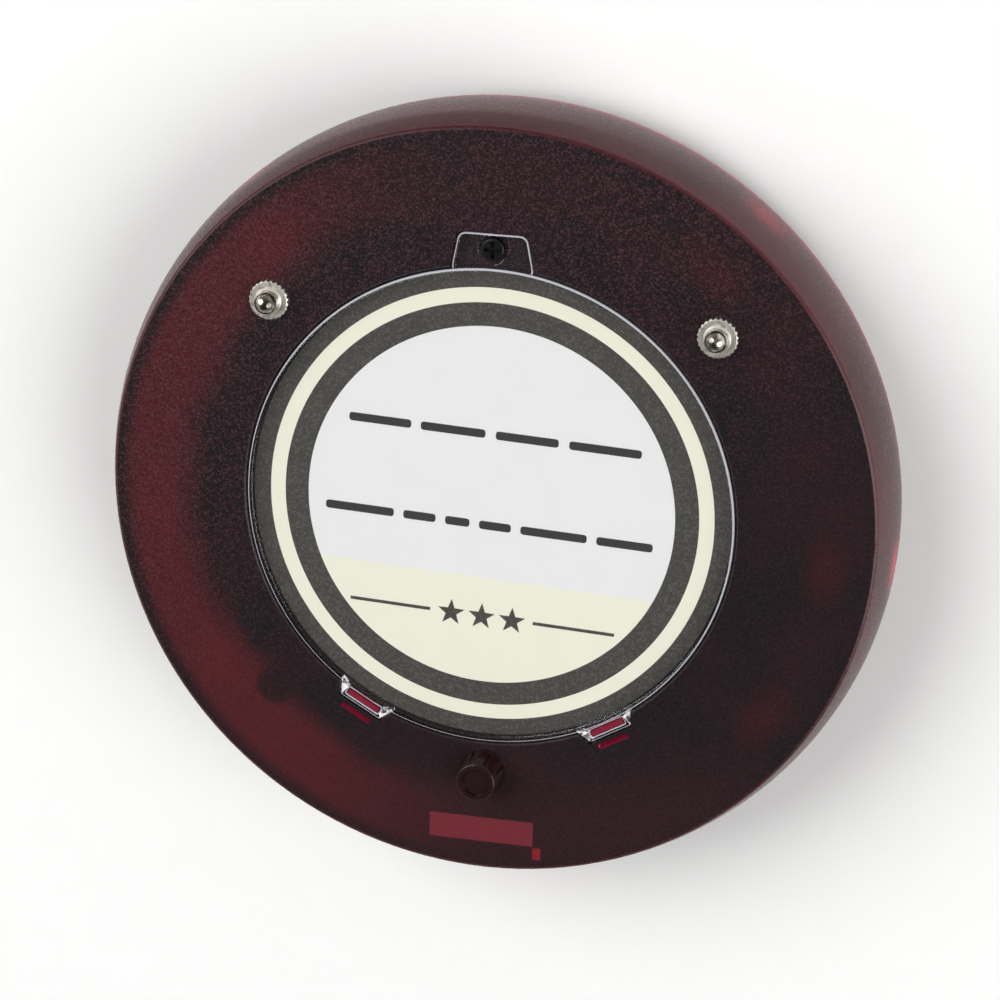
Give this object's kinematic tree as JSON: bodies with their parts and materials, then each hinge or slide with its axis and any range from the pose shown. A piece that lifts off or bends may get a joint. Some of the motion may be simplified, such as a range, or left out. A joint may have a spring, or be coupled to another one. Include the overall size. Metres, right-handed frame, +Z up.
{
  "type": "guest pager",
  "caption": "Round stackable guest pager: translucent two-part case, label under a clear screwed cover, charging studs, locating post, side display.",
  "frame": {"origin": "centre of the flat underside, on the case's axis", "axes": "+Z up out of the label face along the case's axis, +Y towards the cover's screw tab, -Y towards the display window"},
  "size_m": [0.106, 0.1051, 0.0199],
  "materials": {
    "case_red": "dark red translucent moulded plastic, fine sparkle, semi-gloss",
    "window_smoked": "polished near-black red filter plastic",
    "label_print": "printed card in white, cream and olive grey",
    "clear_plastic": "polished clear plastic",
    "black_steel": "black oxide steel",
    "zinc_steel": "zinc plated steel",
    "nickel": "nickel plated, satin",
    "brass": "plain brass",
    "gold_contact": "gold plated contact",
    "board_green": "green solder mask on glass epoxy",
    "module_white": "white moulded reflector housing",
    "module_black": "black printed face",
    "segment_lit": "diffusing epoxy, lit red",
    "segment_off": "diffusing epoxy, unlit",
    "led_body": "surface mount light with a clear epoxy face",
    "battery_foil": "aluminium laminate pouch",
    "foam": "thin adhesive foam",
    "connector_white": "nylon plug",
    "lead_red": "insulated wire",
    "lead_black": "insulated wire",
    "chip_black": "moulded epoxy",
    "weight_metal": "sintered heavy alloy",
    "rubber_boot": "soft rubber",
    "tin_shield": "tinned sheet",
    "ceramic_tan": "ceramic",
    "copper_wire": "enamelled copper wire"
  },
  "bodies": {
    "case": {"top_shell": "case_red", "bottom_shell": "case_red", "display_window": "window_smoked", "label_insert": "label_print", "case_screws": "black_steel", "board_screws": "zinc_steel", "charging_stud_left": "nickel", "charging_stud_right": "nickel", "stud_washer_left": "zinc_steel", "stud_washer_right": "zinc_steel", "contact_barrel_left": "brass", "contact_barrel_right": "brass", "contact_spring_left": "zinc_steel", "contact_spring_right": "zinc_steel", "main_board": "board_green", "display_module": "module_white", "display_mask": "module_black", "display_pins": "zinc_steel", "digit_segments_lit": "segment_lit", "digit_segments_unlit": "segment_off", "side_leds": "led_body", "battery": "battery_foil", "battery_pad": "foam", "battery_connector": "connector_white", "battery_lead_red": "lead_red", "battery_lead_black": "lead_black", "buzzer": "chip_black", "motor_can": "zinc_steel", "motor_boot": "rubber_boot", "motor_leads": "lead_red", "mcu_chip": "chip_black", "mcu_leads": "zinc_steel", "radio_board": "board_green", "radio_shield": "tin_shield", "crystal": "tin_shield", "charger_chip": "chip_black", "chip_capacitors": "ceramic_tan", "chip_resistors": "chip_black", "antenna_coil": "copper_wire"},
    "label_cover_body": {"label_cover": "clear_plastic"},
    "cover_screw_body": {"cover_screw": "black_steel"},
    "contact_plunger_left_body": {"contact_plunger_left": "gold_contact"},
    "contact_plunger_right_body": {"contact_plunger_right": "gold_contact"},
    "motor_rotor": {"motor_shaft": "zinc_steel", "motor_weight": "weight_metal"}
  },
  "joints": [
    {"name": "cover_lift", "type": "slide", "parent": "case", "child": "label_cover_body", "axis": [0, 0, 1], "range_m": [0, 0.02]},
    {"name": "cover_screw_lift", "type": "slide", "parent": "label_cover_body", "child": "cover_screw_body", "axis": [0, 0, 1], "range_m": [0, 0.008]},
    {"name": "contact_press_left", "type": "slide", "parent": "case", "child": "contact_plunger_left_body", "axis": [0, 0, 1], "range_m": [0, 0.0012], "stiffness_N_per_m": 400, "springref_m": -0.0005, "deforming": ["contact_spring_left"]},
    {"name": "contact_press_right", "type": "slide", "parent": "case", "child": "contact_plunger_right_body", "axis": [0, 0, 1], "range_m": [0, 0.0012], "stiffness_N_per_m": 400, "springref_m": -0.0005, "deforming": ["contact_spring_right"]},
    {"name": "motor_spin", "type": "hinge", "parent": "case", "child": "motor_rotor", "pos_m": [-0.032, 0.0069, 0.0053], "axis": [0, 1, 0], "continuous": true}
  ]
}
